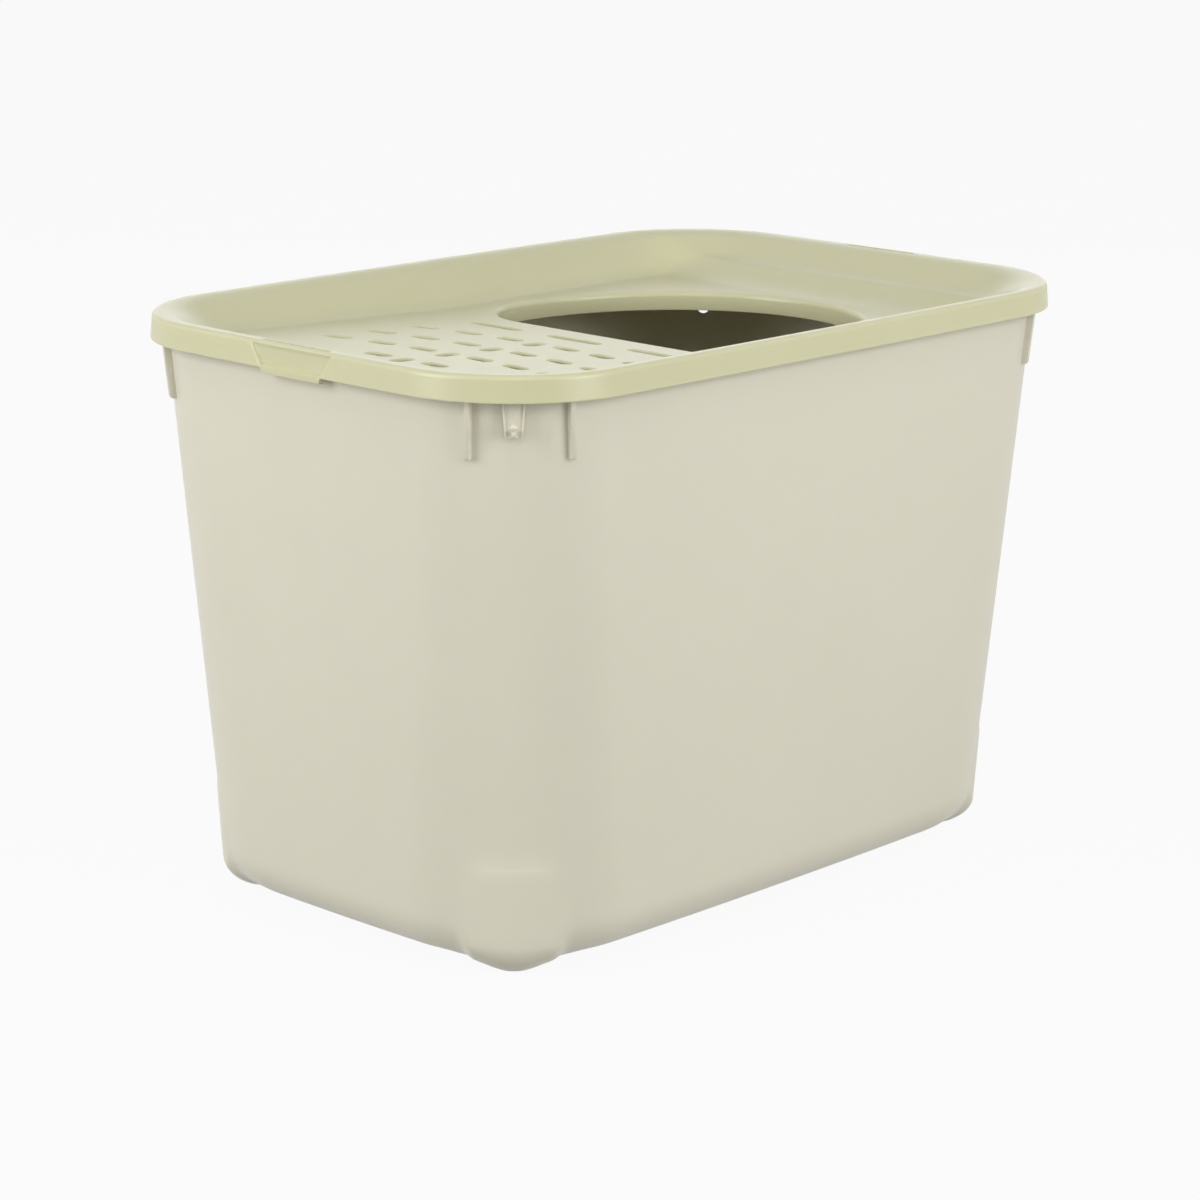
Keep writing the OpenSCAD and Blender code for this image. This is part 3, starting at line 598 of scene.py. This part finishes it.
# ---------------------------------------------------------------- materials
def plastic(name, colour, deep, rough, scatter):
    """Moulded plastic with a slightly uneven colour and gloss, soft waves and a fine grain."""
    m = bpy.data.materials.new(name)
    m.use_nodes = True
    nodes, links = m.node_tree.nodes, m.node_tree.links
    bsdf = nodes["Principled BSDF"]
    where = nodes.new("ShaderNodeTexCoord")

    def noise(scale, detail):
        node = nodes.new("ShaderNodeTexNoise")
        node.inputs["Scale"].default_value = scale
        node.inputs["Detail"].default_value = detail
        links.new(where.outputs["Object"], node.inputs["Vector"])
        return node.outputs["Fac"]

    def bump(height, strength, distance):
        node = nodes.new("ShaderNodeBump")
        node.inputs["Strength"].default_value = strength
        node.inputs["Distance"].default_value = distance
        links.new(height, node.inputs["Height"])
        return node

    mix = nodes.new("ShaderNodeMix")
    mix.data_type = "RGBA"
    mix.inputs["A"].default_value = (*colour, 1)
    mix.inputs["B"].default_value = (*deep, 1)
    links.new(noise(9, 3), mix.inputs["Factor"])
    links.new(mix.outputs["Result"], bsdf.inputs["Base Color"])
    gloss = nodes.new("ShaderNodeMapRange")
    gloss.inputs["To Min"].default_value = rough - 0.04
    gloss.inputs["To Max"].default_value = rough + 0.05
    links.new(noise(60, 4), gloss.inputs["Value"])
    links.new(gloss.outputs["Result"], bsdf.inputs["Roughness"])
    waves = bump(noise(16, 2), 0.12, 0.002)
    grain = bump(noise(900, 3), 0.10, 0.0001)
    links.new(waves.outputs["Normal"], grain.inputs["Normal"])
    links.new(grain.outputs["Normal"], bsdf.inputs["Normal"])
    bsdf.inputs["IOR"].default_value = 1.49
    bsdf.inputs["Subsurface Weight"].default_value = scatter
    bsdf.inputs["Subsurface Radius"].default_value = (0.006, 0.0053, 0.0038)
    bsdf.inputs["Subsurface Scale"].default_value = 1.0
    return m


def srgb(*levels):
    """Linear colour of sRGB levels from 0 to 255."""
    return tuple(((c / 255 + 0.055) / 1.055) ** 2.4 if c > 10 else c / 255 / 12.92 for c in levels)


TUB_PLASTIC = plastic("tub_plastic", srgb(217, 213, 195), srgb(213, 209, 191), 0.36, 0.15)
LID_PLASTIC = plastic("lid_plastic", srgb(204, 202, 166), srgb(200, 198, 161), 0.33, 0.35)

for build, material in ((build_tub, TUB_PLASTIC), (build_ribs, TUB_PLASTIC), (build_lid, LID_PLASTIC)):
    piece = build()
    piece.data.materials.clear()
    piece.data.materials.append(material)
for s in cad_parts["scoop_hook"].material_slots:
    s.material = TUB_PLASTIC


# ---------------------------------------------------------------- floor, world and lights
FLOOR_HALF, FLOOR_GREY, FLOOR_WHITE = 14, (0.4, 0.4, 0.39, 1), 0.94
WORLD_LIGHT = 0.22
WHITE = (1, 1, 1, 1)
# name, place, target, width and height in metres, power in watts
LAMPS = (
    ("left", (-2.4, 0.7, 1.15), (0, 0, 0.25), (1.3, 1.6), 43),
    ("right", (0.3, -2.5, 1.1), (0, 0, 0.25), (1.3, 1.6), 41.5),
    ("top", (-0.9, -0.85, 2.2), (0, 0, 0.3), (0.9, 0.9), 4),
    ("front", (-1.45, -1.4, 1.75), (0, 0, 0.25), (1.0, 1.0), 6),
    ("back", (1.95, 1.8, 1.0), (0, 0, 0.35), (2.6, 1.1), 7.5),
    # narrow high lamps whose reflections run along the rounded edges of the lid
    ("edge_left", (-0.85, 1.45, 1.95), (-0.29, 0, 0.38), (0.25, 1.0), 1.8),
    ("edge_right", (1.45, -0.75, 1.9), (0, -0.195, 0.38), (0.25, 1.0), 1.8))


def show_white(nt, lit, white, strength, output):
    """Mixes a share of plain white into what camera, glossy and transmission rays see."""
    path = nt.nodes.new("ShaderNodeLightPath")

    def combine(operation, first):
        node = nt.nodes.new("ShaderNodeMath")
        node.operation = operation
        nt.links.new(first, node.inputs[0])
        return node

    seen = combine("MAXIMUM", path.outputs["Is Camera Ray"])
    nt.links.new(path.outputs["Is Glossy Ray"], seen.inputs[1])
    seen = combine("MAXIMUM", seen.outputs[0])
    nt.links.new(path.outputs["Is Transmission Ray"], seen.inputs[1])
    share = combine("MULTIPLY", seen.outputs[0])
    share.inputs[1].default_value = strength
    mix = nt.nodes.new("ShaderNodeMixShader")
    nt.links.new(share.outputs[0], mix.inputs["Fac"])
    nt.links.new(lit.outputs[0], mix.inputs[1])
    nt.links.new(white.outputs[0], mix.inputs[2])
    nt.links.new(mix.outputs[0], nt.nodes[output].inputs["Surface"])


def make_floor():
    bm = bmesh.new()
    bmesh.ops.create_grid(bm, x_segments=1, y_segments=1, size=FLOOR_HALF)
    mesh = bpy.data.meshes.new("floor")
    bm.to_mesh(mesh)
    bm.free()
    obj = bpy.data.objects.new("floor", mesh)
    scene.collection.objects.link(obj)
    m = bpy.data.materials.new("floor")
    m.use_nodes = True
    nt = m.node_tree
    bsdf = nt.nodes["Principled BSDF"]
    bsdf.inputs["Base Color"].default_value = FLOOR_GREY
    bsdf.inputs["Roughness"].default_value = 0.9
    white = nt.nodes.new("ShaderNodeEmission")
    white.inputs["Color"].default_value = WHITE
    show_white(nt, bsdf, white, FLOOR_WHITE, "Material Output")
    mesh.materials.append(m)


def make_world():
    world = bpy.data.worlds.new("world")
    scene.world = world
    world.use_nodes = True
    nt = world.node_tree
    lit = nt.nodes["Background"]
    lit.inputs["Color"].default_value = WHITE
    lit.inputs["Strength"].default_value = WORLD_LIGHT
    white = nt.nodes.new("ShaderNodeBackground")
    white.inputs["Color"].default_value = WHITE
    white.inputs["Strength"].default_value = 1
    show_white(nt, lit, white, 1.0, "World Output")


def area(name, place, target, size, power):
    data = bpy.data.lights.new(name, "AREA")
    data.shape = "RECTANGLE"
    data.size, data.size_y = size
    data.energy = power
    obj = bpy.data.objects.new(name, data)
    obj.location = place
    obj.rotation_mode = "QUATERNION"
    obj.rotation_quaternion = (Vector(target) - Vector(place)).to_track_quat("-Z", "Y")
    obj.visible_camera = False
    scene.collection.objects.link(obj)


make_floor()
make_world()
for lamp in LAMPS:
    area(*lamp)

scene.view_settings.view_transform = "Standard"
